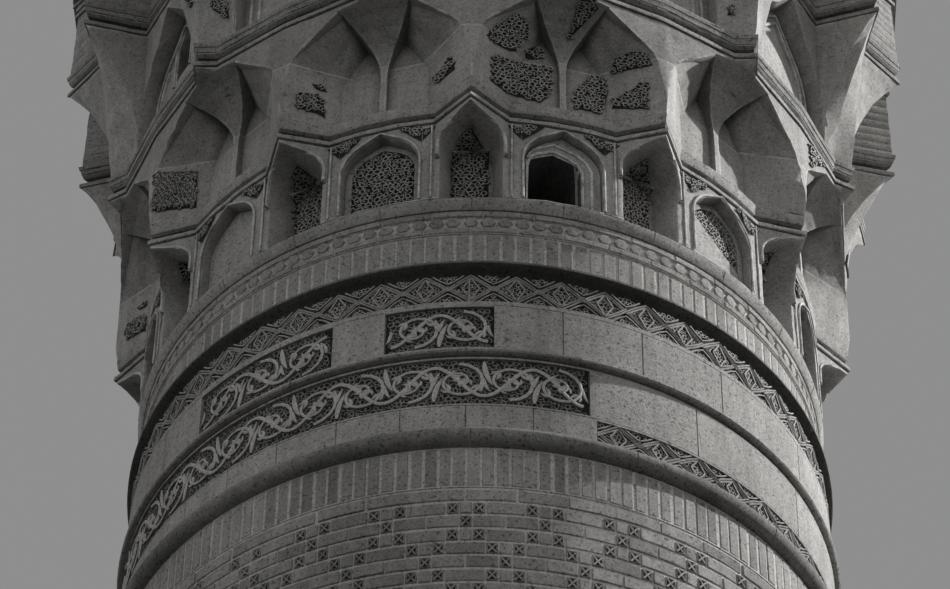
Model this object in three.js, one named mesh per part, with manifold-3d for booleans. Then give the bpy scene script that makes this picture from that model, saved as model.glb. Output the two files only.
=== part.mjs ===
// Head of a brick and stone minaret: the top of the shaft, its carved stone drum and the
// tiers of stalactite corbels that carry the gallery floor. Millimetres, +Z up.
// Azimuth is measured from -Y towards +X; the plan repeats twelve times, every 30 degrees.
import * as THREE from 'three';
import { mergeVertices } from 'three/addons/utils/BufferGeometryUtils.js';
import Module from 'manifold-3d';

const wasm = await Module();
wasm.setup();

// Driving dimensions.
const BAYS = 12;
const BAY = 360 / BAYS;
const GAP = 0.3;            // joint left between neighbouring pieces
const WELL_R = 1250;        // clear radius of the stair well
const RING_SIDES = 36;
const ARCH_STEPS = 4;       // points on each side of an arch, from its springing
const BEYOND = 10;          // how far a cutting body runs past the piece it cuts

const SHAFT_R = 2000;       // brick shaft and lower drum
const UPPER_R = 1963;       // drum above the scotia

// heights of the drum courses above the cut foot of the shaft
const Z_SOLDIER_LOW = 2385;
const Z_ROLL = 2666;
const Z_PLAIN = 2776;
const Z_BAND_LOW = 2972;
const Z_LEDGE = 3332;
const Z_BAND_UP = 3385;
const Z_STRAP = 3732;
const Z_SCOTIA = 3940;
const Z_SOLDIER_UP = 4066;
const Z_BEAD = 4338;
const Z_SILL = 4518;
const Z_TIER1 = 4602;
const Z_CORNICE1 = 5238;
const Z_TIER2 = 5411;
const Z_CORNICE2 = 6190;
const Z_TIER3 = 6390;
const Z_CORNICE3 = 7440;
const Z_TIER4 = 7640;
const Z_FLOOR = 8400;
const Z_TOP = 8560;

// plan of the first cornice: stretches of the round drum with a pointed nose between them
const FLAT_APOTHEM = 1978;  // corner of a stretch, measured along the middle of its bay
const FLAT_HALF = 312;
const NOSE1_TIP = 2192;
// plan of the second cornice: long sides over the first noses, small noses between
const LONG_APOTHEM = 2206;
const LONG_MIDDLE = 2222;   // the long sides bow out a little
const NOSE2_TIP = 2334;
const NOSE2_HALF = 90;
// plan of the third cornice
const SIDE3_HALF = 288;     // flat side between two horns
const SIDE3_APOTHEM = 2250;
const HORN_HALF = 308;      // a horn's two corners, each side of its notch
const HORN_R = 2642;
const CREASE_HALF = 250;    // where a nose's side crease meets the horn's notched face
const CREASE_R = 2612;
const NOTCH_R = 2484;

// first tier
const NICHE1_BACK = 1820;
const NICHE1_BACK_HALF = 112;
const NICHE1_BACK_APEX = 5180;
const NICHE1_FRONT = 2215;
const NICHE1_FRONT_HALF = 255;
const NICHE1_SPRING = 5050;
const NICHE1_CROWN = 24;    // stone left between the niche's apex and the cornice
const NOSE1_FOOT = 4941;
const PANEL_HALF = 222;
const PANEL_FOOT = 4614;
const PANEL_SPRING = 4950;
const PANEL_APEX = 5212;
const PANEL_DEPTH = 95;
const SCREEN_THICK = 45;
const FRAME_THICK = 70;
const PIECE_RIM = 1.2;      // joint round a piece set in a panel
const WINDOW_LEFT = -201;
const WINDOW_RIGHT = 103;
const WINDOW_PEAK = -55;
const WINDOW_SPRING = 4935;
const WINDOW_APEX = 5054;
// second tier
const CELL_BACK = 1948;
const PILASTER_HALF = 22;
const PILASTER_FRONT = 1988;
const CELL_SPLAY = 1.31;    // sideways run of a cell's outer wall for each unit outward
const NOSE1_SPLAY = 1.72;   // the same along a nose's side, which the wall follows at its foot
const CELL_BACK_FAR = 260;
const CELL_SPRING = 5755;
const CELL_APEX_BACK = 6040;
const CELL_APEX_FRONT = 6150;
const CELL_RUN = 281;       // way outward over which a cell's head opens
const CELL_PEAK_BACK = 115;
const CELL_PEAK_FRONT = 235;
const WEB_SPRING = 5850;
const WEB_SWEEP = 82;       // degrees of the web's quarter curve
// third tier
const NICHE3_HALF = 379;
const NICHE3_BACK = 2101;
const NICHE3_SPRING = 6800;
const NICHE3_APEX_BACK = 7360;
const NICHE3_APEX_FRONT = 7420;
const JAMB_HALF = 388;
const NOSE3_FOOT_TIP = 2345;
const SLIT_AZIMUTH = 300;
const SLIT_HALF = 85;       // at the niche's back wall; it splays inward
const SLIT_HALF_IN = 330;
const SLIT_SILL = 6860;
const SLIT_SPRING = 7130;
const SLIT_APEX = 7300;

const rad = THREE.MathUtils.degToRad;

// Point of a bay: l along the face, r out from the axis, z up.
function inBay(azimuth, l, r, z) {
  const a = rad(azimuth);
  return new THREE.Vector3(l * Math.cos(a) + r * Math.sin(a),
    l * Math.sin(a) - r * Math.cos(a), z);
}

function toSolid(geometry) {
  const merged = mergeVertices(geometry, 1e-3);
  const make = (tri) => new wasm.Manifold(new wasm.Mesh({
    numProp: 3, vertProperties: merged.attributes.position.array, triVerts: tri }));
  const tri = new Uint32Array(merged.index.array);
  const made = make(tri);
  if (made.volume() > 0) return made;
  for (let i = 0; i < tri.length; i += 3) [tri[i + 1], tri[i + 2]] = [tri[i + 2], tri[i + 1]];
  return make(tri);
}

function toGeometry(solid) {
  const mesh = solid.getMesh();
  const points = new Float32Array(mesh.numVert * 3);
  for (let i = 0; i < mesh.numVert; i++) {
    points.set(mesh.vertProperties.subarray(i * mesh.numProp, i * mesh.numProp + 3), i * 3);
  }
  return new THREE.BufferGeometry()
    .setAttribute('position', new THREE.BufferAttribute(points, 3))
    .setIndex(new THREE.BufferAttribute(new Uint32Array(mesh.triVerts), 1));
}

// Skin through equal rings of points; a closed loft joins the last ring to the first.
function loft(rings, closed = false) {
  const n = rings[0].length;
  const position = rings.flat().flatMap((p) => [p.x, p.y, p.z]);
  const index = [];
  const last = closed ? rings.length : rings.length - 1;
  for (let i = 0; i < last; i++) {
    const a = i * n;
    const b = ((i + 1) % rings.length) * n;
    for (let j = 0; j < n; j++) {
      const k = (j + 1) % n;
      index.push(a + j, a + k, b + k, a + j, b + k, b + j);
    }
  }
  if (!closed) {
    const end = (rings.length - 1) * n;
    for (let j = 1; j < n - 1; j++) index.push(0, j + 1, j, end, end + j, end + j + 1);
  }
  const geometry = new THREE.BufferGeometry();
  geometry.setAttribute('position', new THREE.Float32BufferAttribute(position, 3));
  geometry.setIndex(index);
  return toSolid(geometry);
}

// Round course from a closed profile of [radius, height] pairs.
function revolve(profile, sides = RING_SIDES) {
  const rings = [];
  for (let i = 0; i < sides; i++) {
    const a = (360 * (i + 0.5)) / sides;
    rings.push(profile.map(([r, z]) => inBay(a, 0, r, z)));
  }
  return loft(rings, true);
}

// Upright prism over a plan outline of Vector2 points.
function prism(outline, z0, z1) {
  const shape = new THREE.Shape(outline);
  const geometry = new THREE.ExtrudeGeometry(shape, { depth: z1 - z0, bevelEnabled: false, steps: 1 });
  geometry.translate(0, 0, z0);
  geometry.deleteAttribute('normal');
  geometry.deleteAttribute('uv');
  return toSolid(geometry);
}

function well(z0, z1) {
  const rings = [z0 - BEYOND, z1 + BEYOND].map((z) => {
    const ring = [];
    for (let i = 0; i < RING_SIDES; i++) ring.push(inBay((360 * (i + 0.5)) / RING_SIDES, 0, WELL_R, z));
    return ring;
  });
  return loft(rings);
}

const flat = (p) => new THREE.Vector2(p.x, p.y);

// Outline moved out by d along every edge.
function offset(outline, d) {
  const n = outline.length;
  const lines = outline.map((p, i) => {
    const q = outline[(i + 1) % n];
    const dir = q.clone().sub(p).normalize();
    return { p: p.clone().add(new THREE.Vector2(dir.y, -dir.x).multiplyScalar(d)), dir };
  });
  return lines.map((line, i) => {
    const before = lines[(i + n - 1) % n];
    const cross = before.dir.x * line.dir.y - before.dir.y * line.dir.x;
    if (Math.abs(cross) < 1e-6) return line.p.clone();
    const t = ((line.p.x - before.p.x) * line.dir.y - (line.p.y - before.p.y) * line.dir.x) / cross;
    return before.p.clone().add(before.dir.clone().multiplyScalar(t));
  });
}

function ringOf(outline, z) {
  return outline.map((p) => new THREE.Vector3(p.x, p.y, z));
}

// Solid through rings of the same corners, whose flat ends need not be convex.
function slab(rings, contours) {
  const n = rings[0].length;
  const index = [];
  for (let i = 0; i < rings.length - 1; i++) {
    for (let j = 0; j < n; j++) {
      const k = (j + 1) % n;
      index.push(i * n + j, i * n + k, i * n + n + k, i * n + j, i * n + n + k, i * n + n + j);
    }
  }
  const cap = (contour, base, flip) => {
    const turned = THREE.ShapeUtils.isClockWise(contour) !== flip;
    for (const face of THREE.ShapeUtils.triangulateShape(contour, [])) {
      const [p, q, s] = turned ? face.slice().reverse() : face;
      index.push(base + p, base + s, base + q);
    }
  };
  cap(contours[0], 0, false);
  cap(contours[1], (rings.length - 1) * n, true);
  const geometry = new THREE.BufferGeometry();
  const position = rings.flat().flatMap((p) => [p.x, p.y, p.z]);
  geometry.setAttribute('position', new THREE.Float32BufferAttribute(position, 3));
  geometry.setIndex(index);
  return toSolid(geometry);
}

// Solid through outlines of the same corners, each given with its height.
function stack(levels) {
  const rings = levels.map(({ outline, z }) => ringOf(outline, z));
  return slab(rings, [levels[0].outline, levels[levels.length - 1].outline]);
}

// Four-centred arch as [l, z] pairs, counter-clockwise from its left foot. Each side is an arc
// from the springing, then a straight run to the apex; haunch is the arc's radius over the side's
// width. A skewed arch has its own left, right, peak and haunchLeft.
function archPoints(half, foot, spring, apex, haunch = 1, skew = {}) {
  const { left = -half, right = half, peak = 0, haunchLeft = haunch } = skew;
  const side = (edge, arcShare) => {
    const w = Math.abs(edge - peak);
    const rise = apex - spring;
    const full = (w * w + rise * rise) / (2 * w);
    const arc = Math.min(arcShare * w, 0.97 * full);
    const end = Math.atan2(rise, arc - w) - Math.acos(arc / Math.hypot(w - arc, rise));
    const out = [];
    for (let i = 0; i < ARCH_STEPS; i++) {
      const a = (end * i) / (ARCH_STEPS - 1);
      out.push([peak + Math.sign(edge - peak) * (w - arc + arc * Math.cos(a)), spring + arc * Math.sin(a)]);
    }
    return out;
  };
  return [[left, foot], [right, foot], ...side(right, haunch), [peak, apex], ...side(left, haunchLeft).reverse()];
}

function archLoft(azimuth, sections) {
  return loft(sections.map(({ r, points }) => points.map(([l, z]) => inBay(azimuth, l, r, z))));
}

const quarter = (t) => Math.sin((t * Math.PI) / 2);
const { lerp } = THREE.MathUtils;

// Plans of the cornices, counter-clockwise from above.
function cornicePlan(pointsOfBay) {
  const outline = [];
  for (let i = 0; i < BAYS; i++) outline.push(...pointsOfBay(i * BAY));
  return outline;
}
const planPoint = (azimuth, l, r) => flat(inBay(azimuth, l, r, 0));
const DRUM1_R = Math.hypot(FLAT_APOTHEM, FLAT_HALF);
const onDrum1 = (azimuth, l) => planPoint(azimuth, l, Math.sqrt(DRUM1_R ** 2 - l ** 2));
const plan1 = cornicePlan((a) => [
  onDrum1(a - BAY / 2, FLAT_HALF / 3),
  onDrum1(a - BAY / 2, FLAT_HALF),
  planPoint(a, 0, NOSE1_TIP),
  onDrum1(a + BAY / 2, -FLAT_HALF),
  onDrum1(a + BAY / 2, -FLAT_HALF / 3),
]);
const plan2 = cornicePlan((a) => [
  planPoint(a, 0, LONG_MIDDLE),
  planPoint(a + BAY / 2, -NOSE2_HALF, NOSE2_TIP - NOSE2_HALF),
  planPoint(a + BAY / 2, 0, NOSE2_TIP),
  planPoint(a + BAY / 2, NOSE2_HALF, NOSE2_TIP - NOSE2_HALF),
]);
const plan3 = cornicePlan((a) => [
  planPoint(a, -SIDE3_HALF, SIDE3_APOTHEM),
  planPoint(a, SIDE3_HALF, SIDE3_APOTHEM),
  planPoint(a + BAY / 2, -HORN_HALF, HORN_R),
  planPoint(a + BAY / 2, 0, NOTCH_R),
  planPoint(a + BAY / 2, HORN_HALF, HORN_R),
]);

const parts = [];
function add(name, solid, color) {
  parts.push({ name, geometry: toGeometry(solid), color });
}

// Four quarters of a ring, parted along X and Y.
function addQuarters(name, solid, color) {
  const far = 5000;
  for (let k = 0; k < 4; k++) {
    const corners = [[GAP / 2, -far], [far, -far], [far, -GAP / 2], [GAP / 2, -GAP / 2]];
    const outline = corners.map(([x, y]) => new THREE.Vector2(x, y)
      .rotateAround(new THREE.Vector2(), rad(90 * k)));
    add(`${name}_${k + 1}`, solid.intersect(prism(outline, -far, 2 * far)), color);
  }
}
const BRICK = 0x9a8468;
const STONE = 0xb3a588;
const PALE = 0xc2b597;

function course(name, z0, z1, outer, color = STONE) {
  const lo = z0 + GAP / 2;
  const hi = z1 - GAP / 2;
  const profile = [[WELL_R, lo], ...outer(lo, hi), [WELL_R, hi]];
  add(name, revolve(profile), color);
}
const plain = (r) => (lo, hi) => [[r, lo], [r, hi]];

course('shaft_wall', -GAP / 2, Z_SOLDIER_LOW, plain(SHAFT_R), BRICK);
course('soldier_course_lower', Z_SOLDIER_LOW, Z_ROLL, plain(SHAFT_R), BRICK);
course('roll_moulding', Z_ROLL, Z_PLAIN, (lo, hi) => {
  const mid = (lo + hi) / 2;
  const half = (hi - lo) / 2;
  return [[SHAFT_R + 15, lo], [SHAFT_R + 15 + half * 0.7, mid - half * 0.7], [SHAFT_R + 15 + half, mid],
    [SHAFT_R + 15 + half * 0.7, mid + half * 0.7], [SHAFT_R + 15, hi]];
});
course('plain_course', Z_PLAIN, Z_BAND_LOW, plain(SHAFT_R));
course('band_course_lower', Z_BAND_LOW, Z_LEDGE, plain(SHAFT_R));
course('ledge_moulding', Z_LEDGE, Z_BAND_UP, (lo, hi) => [
  [SHAFT_R - 12, lo], [SHAFT_R - 12, lo + 16], [SHAFT_R + 34, lo + 26], [SHAFT_R + 34, hi - 8], [SHAFT_R + 22, hi]]);
course('band_course_upper', Z_BAND_UP, Z_STRAP, plain(SHAFT_R));
course('strapwork_frieze', Z_STRAP, Z_SCOTIA, plain(SHAFT_R));
course('scotia_moulding', Z_SCOTIA, Z_SOLDIER_UP, (lo, hi) => [
  [SHAFT_R + 6, lo], [SHAFT_R + 6, lo + 14], [SHAFT_R - 50, lo + 24], [SHAFT_R - 52, lo + 60],
  [SHAFT_R + 10, lo + 86], [SHAFT_R + 30, lo + 92], [SHAFT_R + 30, hi - 10], [UPPER_R + 10, hi]]);
course('soldier_course_upper', Z_SOLDIER_UP, Z_BEAD, plain(UPPER_R), BRICK);
course('bead_band', Z_BEAD, Z_SILL, (lo, hi) => [
  [UPPER_R + 14, lo], [UPPER_R + 14, lo + 26], [UPPER_R, lo + 34], [UPPER_R, hi - 34],
  [UPPER_R + 14, hi - 26], [UPPER_R + 14, hi]]);
course('tier1_sill', Z_SILL, Z_TIER1, (lo, hi) => [
  [UPPER_R + 20, lo], [UPPER_R + 44, hi - 20], [UPPER_R + 36, hi]]);

const windowHole = (foot) => archPoints(0, foot, WINDOW_SPRING, WINDOW_APEX, 0.5,
  { left: WINDOW_LEFT, right: WINDOW_RIGHT, peak: WINDOW_PEAK });

// First tier: round blind-arched panels between deep narrow niches whose heads run out to the noses.
{
  const lo = Z_TIER1 + GAP / 2;
  const hi = Z_CORNICE1 - GAP / 2;
  let body = prism(plan1, lo, hi).subtract(well(lo, hi));
  for (let i = 0; i < BAYS; i++) {
    // the niche widens and rises outward, over a sloping floor
    const sections = [0, 0.3, 0.65, 1].map((t) => {
      const half = lerp(NICHE1_BACK_HALF, NICHE1_FRONT_HALF, t);
      const apex = lerp(NICHE1_BACK_APEX, Z_CORNICE1 - NICHE1_CROWN, quarter(t));
      const foot = lerp(lo + 30, lo - 60, t);
      return { r: lerp(NICHE1_BACK, NICHE1_FRONT, t), points: archPoints(half, foot, NICHE1_SPRING, apex, 0.6) };
    });
    sections.push({ r: NICHE1_FRONT + 85,
      points: archPoints(NICHE1_FRONT_HALF + 35, lo - 80, NICHE1_SPRING, Z_CORNICE1 - NICHE1_CROWN + 1, 0.6) });
    body = body.subtract(archLoft(i * BAY, sections));
    // the hanging part of each nose ends beside its niche
    const wide = FLAT_HALF + 88;
    const skirt = [[-wide, lo - BEYOND], [wide, lo - BEYOND], [wide, NOSE1_FOOT], [-wide, NOSE1_FOOT]];
    body = body.subtract(archLoft(i * BAY, [
      { r: FLAT_APOTHEM + 14, points: skirt }, { r: NOSE1_TIP + 200, points: skirt }]));
  }
  for (let i = 0; i < BAYS; i++) {
    const points = archPoints(PANEL_HALF, PANEL_FOOT, PANEL_SPRING, PANEL_APEX);
    body = body.subtract(archLoft((i + 0.5) * BAY, [
      { r: FLAT_APOTHEM - PANEL_DEPTH, points }, { r: FLAT_APOTHEM + 200, points }]));
  }
  const hole = windowHole(PANEL_FOOT);
  body = body.subtract(archLoft(BAY / 2, [
    { r: WELL_R - 350, points: hole }, { r: FLAT_APOTHEM + 200, points: hole }]));
  addQuarters('tier1_body', body, STONE);
}

// Each panel holds a screen, but the first a frame round the one open window.
for (let i = 0; i < BAYS; i++) {
  const a = (i + 0.5) * BAY;
  const outer = archPoints(PANEL_HALF - PIECE_RIM, PANEL_FOOT + GAP, PANEL_SPRING, PANEL_APEX - PIECE_RIM);
  const back = FLAT_APOTHEM - PANEL_DEPTH + GAP;
  const piece = (thick) => archLoft(a, [{ r: back, points: outer }, { r: back + thick, points: outer }]);
  if (i === 0) {
    const hole = windowHole(PANEL_FOOT - 2 * BEYOND);
    add('window_frame', piece(FRAME_THICK).subtract(archLoft(a, [
      { r: back - BEYOND, points: hole }, { r: back + FRAME_THICK + BEYOND, points: hole }])), PALE);
  } else {
    add('screen_' + String(a).padStart(3, '0'), piece(SCREEN_THICK), PALE);
  }
}

// Masonry over a plan outline, as steps that stand out from it; top is measured from the step's foot.
function cornice(plan, z0, z1, steps) {
  const lo = z0 + GAP / 2;
  const hi = z1 - GAP / 2;
  let body = null;
  steps.forEach(({ out, outTop = out, top }, i) => {
    const base = i ? lo + steps[i - 1].top : lo;
    const end = i === steps.length - 1 ? hi : lo + top;
    const piece = stack([{ outline: offset(plan, out), z: base }, { outline: offset(plan, outTop), z: end }]);
    body = body ? body.add(piece) : piece;
  });
  return body.subtract(well(lo, hi));
}

add('cornice_1', cornice(plan1, Z_CORNICE1, Z_TIER2, [
  { out: 14, top: 34 }, { out: -34, top: 71 }, { out: 0, outTop: 12, top: 173 }]), STONE);
add('cornice_2', cornice(plan2, Z_CORNICE2, Z_TIER3, [
  { out: 12, top: 38 }, { out: -32, top: 84 }, { out: 4, top: 122 }, { out: 14, top: 160 },
  { out: 24, top: 200 }]), STONE);
addQuarters('cornice_3', cornice(plan3, Z_CORNICE3, Z_TIER4, [
  { out: 10, top: 38 }, { out: -32, top: 84 }, { out: 4, top: 122 }, { out: 12, top: 160 },
  { out: 20, top: 200 }]), STONE);
// The fourth tier stands upright on the third cornice and ends in a plain stepped cornice.
addQuarters('tier4_body', cornice(plan3, Z_TIER4, Z_FLOOR, [
  { out: 8, top: 600 }, { out: 22, top: 640 }, { out: 2, top: 670 }, { out: 20, top: 715 },
  { out: 34, top: 760 }]), BRICK);

// Second tier: paired half cells between the noses, parted by a thin pilaster that forks into a web.
{
  const lo = Z_TIER2 + GAP / 2;
  const hi = Z_CORNICE2 - GAP / 2;
  let body = prism(plan2, lo, hi).subtract(well(lo, hi));
  // how far a cell has opened at r, and where its peak stands
  const openAt = (r) => Math.min(1, (r - CELL_BACK) / CELL_RUN);
  const peakAt = (r) => lerp(CELL_PEAK_BACK, CELL_PEAK_FRONT, openAt(r));
  for (let i = 0; i < BAYS; i++) {
    const a = (i + 0.5) * BAY;
    for (const side of [-1, 1]) {
      const sections = [0, 0.2, 0.45, 1].map((t) => {
        const r = lerp(CELL_BACK, CELL_BACK + 450, t);
        const far = CELL_BACK_FAR + CELL_SPLAY * (r - CELL_BACK);
        const apex = lerp(CELL_APEX_BACK, CELL_APEX_FRONT, quarter(openAt(r)));
        const points = archPoints(0, lo - BEYOND, CELL_SPRING, apex, 0.7,
          { left: PILASTER_HALF, right: far, peak: peakAt(r), haunchLeft: Infinity });
        points[1][0] = CELL_BACK_FAR + NOSE1_SPLAY * (r - CELL_BACK);
        return { r, points: side < 0 ? points.map(([l, z]) => [-l, z]) : points };
      });
      body = body.subtract(archLoft(a, sections));
    }
    // front of the pilaster and the hollow web that forks from it
    const sweep = rad(WEB_SWEEP);
    const crown = hi - 8;
    const profile = [];
    for (let k = 0; k <= 6; k++) {
      const t = (k / 6) * sweep;
      profile.push([
        lerp(PILASTER_FRONT, NOSE2_TIP, (1 - Math.cos(t)) / (1 - Math.cos(sweep))),
        lerp(WEB_SPRING, crown, Math.sin(t) / Math.sin(sweep))]);
    }
    const out = NOSE2_TIP + 266;
    const ring = [...profile, [out, crown], [out, lo - BEYOND], [PILASTER_FRONT, lo - BEYOND]];
    const side = (sign) => ring.map(([r, z]) => inBay(a, sign * peakAt(r), r, z));
    const contour = ring.map(([r, z]) => new THREE.Vector2(r, z));
    body = body.subtract(slab([side(-1), side(1)], [contour, contour]));
  }
  addQuarters('tier2_body', body, STONE);
}

// Third tier: piers over the small noses flare out to notched horns, with shallow niches between.
{
  const lo = Z_TIER3 + GAP / 2;
  const hi = Z_CORNICE3 - GAP / 2;
  const between = (azimuth, from, to, k) =>
    planPoint(azimuth, lerp(from[0], to[0], k), lerp(from[1], to[1], k));
  const jambFoot = LONG_APOTHEM - 12;
  // a horn's corner, read in the bay of the niche beside it
  const turn = rad(BAY / 2);
  const hornInNiche = { l: -HORN_HALF * Math.cos(turn) + HORN_R * Math.sin(turn),
    r: HORN_HALF * Math.sin(turn) + HORN_R * Math.cos(turn) };
  const outlineAt = (t) => {
    const narrowing = Math.max(0, (t - 0.3) / 0.7) ** 2;
    const inner = (side, a) => between(a, [side * (NICHE3_HALF + 1), jambFoot],
      [side * SIDE3_HALF, SIDE3_APOTHEM], narrowing);
    const jamb = (side, a) => between(a, [side * JAMB_HALF, jambFoot],
      [side * hornInNiche.l, hornInNiche.r], t ** 2.4);
    const crease = (side, a) => between(a, [side * NOSE2_HALF, NOSE2_TIP - NOSE2_HALF],
      [side * CREASE_HALF, CREASE_R], t ** 1.4);
    return cornicePlan((a) => [
      jamb(-1, a), inner(-1, a), inner(1, a), jamb(1, a),
      crease(-1, a + BAY / 2), between(a + BAY / 2, [0, NOSE3_FOOT_TIP], [0, NOTCH_R], t), crease(1, a + BAY / 2),
    ]);
  };
  const levels = [0, 0.3, 0.5, 0.65, 0.78, 0.9, 1];
  let body = stack(levels.map((t) => ({ outline: outlineAt(t), z: lerp(lo, hi, t) }))).subtract(well(lo, hi));
  for (let i = 0; i < BAYS; i++) {
    body = body.subtract(archLoft(i * BAY, [
      { r: NICHE3_BACK, points: archPoints(NICHE3_HALF, lo + 40, NICHE3_SPRING, NICHE3_APEX_BACK, 1.3) },
      { r: SIDE3_APOTHEM + 20, points: archPoints(NICHE3_HALF, lo + 30, NICHE3_SPRING, NICHE3_APEX_FRONT, 1.3) }]));
  }
  body = body.subtract(archLoft(SLIT_AZIMUTH, [
    { r: WELL_R - 60, points: archPoints(SLIT_HALF_IN, SLIT_SILL, SLIT_SPRING, SLIT_APEX) },
    { r: NICHE3_BACK, points: archPoints(SLIT_HALF, SLIT_SILL, SLIT_SPRING, SLIT_APEX) },
    { r: NICHE3_BACK + 60, points: archPoints(SLIT_HALF, SLIT_SILL, SLIT_SPRING, SLIT_APEX) }]));
  addQuarters('tier3_body', body, BRICK);
}

const hornCorners = cornicePlan((a) => [
  planPoint(a + BAY / 2, -HORN_HALF, HORN_R), planPoint(a + BAY / 2, HORN_HALF, HORN_R)]);
add('gallery_floor', prism(offset(hornCorners, 60), Z_FLOOR + GAP / 2, Z_TOP)
  .subtract(well(Z_FLOOR, Z_TOP)), PALE);

const minaretHead = new THREE.Group();
minaretHead.name = 'minaret_head';
for (const { name, geometry, color } of parts) {
  const mesh = new THREE.Mesh(geometry, new THREE.MeshStandardMaterial({ color, roughness: 0.9 }));
  mesh.name = name;
  minaretHead.add(mesh);
}

export default minaretHead;
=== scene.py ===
"""Looks of the minaret head: brickwork, carved bands, pierced screens and worn stone tiers."""
import math
import random

import bmesh
import bpy
from mathutils import Matrix, Vector
from mathutils import noise as noise_3d
from mathutils.bvhtree import BVHTree


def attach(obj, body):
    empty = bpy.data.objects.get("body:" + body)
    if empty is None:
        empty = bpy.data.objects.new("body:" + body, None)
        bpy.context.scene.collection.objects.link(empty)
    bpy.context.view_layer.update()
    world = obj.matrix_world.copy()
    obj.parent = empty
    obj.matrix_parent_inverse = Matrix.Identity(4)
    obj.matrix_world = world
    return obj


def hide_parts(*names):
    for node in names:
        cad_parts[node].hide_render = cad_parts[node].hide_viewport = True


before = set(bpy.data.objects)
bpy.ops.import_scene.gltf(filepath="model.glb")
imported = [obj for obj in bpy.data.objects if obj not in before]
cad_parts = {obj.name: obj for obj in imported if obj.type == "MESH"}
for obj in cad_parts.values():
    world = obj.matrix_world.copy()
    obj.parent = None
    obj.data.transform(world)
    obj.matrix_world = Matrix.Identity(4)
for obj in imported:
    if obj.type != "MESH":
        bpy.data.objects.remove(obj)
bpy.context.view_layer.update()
random.seed(7)

# Heights and radii of the courses, in metres, as in the part. Azimuth runs from -Y towards +X.
WELL_R = 1.25
SHAFT_R = 2.0
UPPER_R = 1.963
Z_SOLDIER_LOW = 2.385
Z_ROLL = 2.666
Z_PLAIN = 2.776
Z_BAND_LOW = 2.972
Z_LEDGE = 3.332
Z_BAND_UP = 3.385
Z_STRAP = 3.732
Z_SCOTIA = 3.940
Z_SOLDIER_UP = 4.066
Z_BEAD = 4.338
Z_SILL = 4.518
Z_TIER1 = 4.602
Z_CORNICE1 = 5.238
Z_CORNICE2 = 6.190
Z_CORNICE3 = 7.440
Z_TIER4 = 7.640
DRUM1_R = 2.0025    # round stretches of the first tier
PANEL_BACK = 1.8833
PANEL_HALF, PANEL_FOOT, PANEL_SPRING, PANEL_APEX = 0.222, 4.614, 4.950, 5.212
SCREEN_THICK = 0.045
COURSE = 0.0745     # brick course of the upper tiers
# the photo's standpoint: azimuth, distance from the axis and height
EYE_AZIMUTH, EYE_OUT, EYE_Z = 2.02, 15.838, -11.032
BAYS = 12
BAY = 360 / BAYS
STEP = 0.00015      # half of the joint left between neighbouring nodes


def in_bay(azimuth, l, r, z):
    a = math.radians(azimuth)
    return Vector((l * math.cos(a) + r * math.sin(a), l * math.sin(a) - r * math.cos(a), z))


def polar(azimuth, r, z):
    return in_bay(azimuth, 0.0, r, z)


# Procedural materials.
def tone(v):
    """Warm grey of the whole tower."""
    return (v * 1.02, v, v * 0.96)


def feed(tree, socket, value):
    """Links a socket to another node's output, or sets its constant."""
    if isinstance(value, bpy.types.NodeSocket):
        tree.links.new(value, socket)
    else:
        socket.default_value = value


def add(tree, kind, **inputs):
    """Shader node; the inputs' names have underscores for spaces."""
    made = tree.nodes.new("ShaderNode" + kind)
    for name, value in inputs.items():
        feed(tree, made.inputs[name.replace("_", " ")], value)
    return made


def spot(tree):
    return add(tree, "TexCoord").outputs["Object"]


def noise(tree, scale, detail, rough, stretch=(1, 1, 1)):
    """Noise in object space; stretch scales the coordinates."""
    mapped = add(tree, "Mapping", Vector=spot(tree), Scale=stretch).outputs["Vector"]
    return add(tree, "TexNoise", Vector=mapped, Scale=scale, Detail=detail, Roughness=rough).outputs["Fac"]


def ramp(tree, value, *stops):
    """Colour ramp; each stop is a place and a grey or a colour."""
    made = add(tree, "ValToRGB", Fac=value)
    while len(made.color_ramp.elements) < len(stops):
        made.color_ramp.elements.new(0.5)
    for element, (at, shade) in zip(made.color_ramp.elements, stops):
        element.position = at
        element.color = (*shade, 1) if isinstance(shade, tuple) else (shade, shade, shade, 1)
    return made.outputs["Color"]


def mix(tree, share, a, b, kind="MIX"):
    made = tree.nodes.new("ShaderNodeMix")
    made.data_type = "RGBA"
    made.blend_type = kind
    # the sockets of the colours share their names with those of other kinds of value
    first, second, result = 6, 7, 2
    for place, value in (("Factor", share), (first, a), (second, b)):
        feed(tree, made.inputs[place], value)
    return made.outputs[result]


def darken(tree, colour, value, *stops, share=1.0):
    """Colour multiplied by the grey that a ramp gives a value."""
    return mix(tree, share, colour, ramp(tree, value, *stops), "MULTIPLY")


def openness(tree, reach, inside=False):
    """How open a place is, from 0 to 1; inside measures through the solid."""
    made = add(tree, "AmbientOcclusion", Distance=reach)
    made.samples = 4
    made.inside = inside
    return made.outputs["AO"]


def rubbed_and_highlit(tree, colour, pale, width):
    """Worn edges, paler in places than the faces beside them: partly wear, partly a painted highlight where
    edges catch the light.
    """
    share = ramp(tree, openness(tree, width, inside=True), (0.45, 0.85), (0.85, 0.0))
    share = darken(tree, share, noise(tree, 11, 5, 0.75), (0.42, 0.05), (0.62, 1.0))
    return mix(tree, share, colour, (*pale, 1))


def bed_joint(tree, colour, height):
    """Light mortar line at a height, with duller blocks above it."""
    reach = 0.02
    z = add(tree, "SeparateXYZ", Vector=spot(tree)).outputs["Z"]
    rise = add(tree, "MapRange", Value=z, From_Min=height - reach, From_Max=height + reach).outputs["Result"]
    colour = darken(tree, colour, rise, (0.45, 1.0), (0.55, 0.80))
    line = ramp(tree, rise, (0.36, 0.0), (0.43, 0.7), (0.57, 0.7), (0.64, 0.0))
    line = darken(tree, line, noise(tree, 9, 4, 0.7), (0.38, 0.15), (0.55, 1.0))
    return mix(tree, line, colour, (*tone(0.82), 1))


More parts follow.
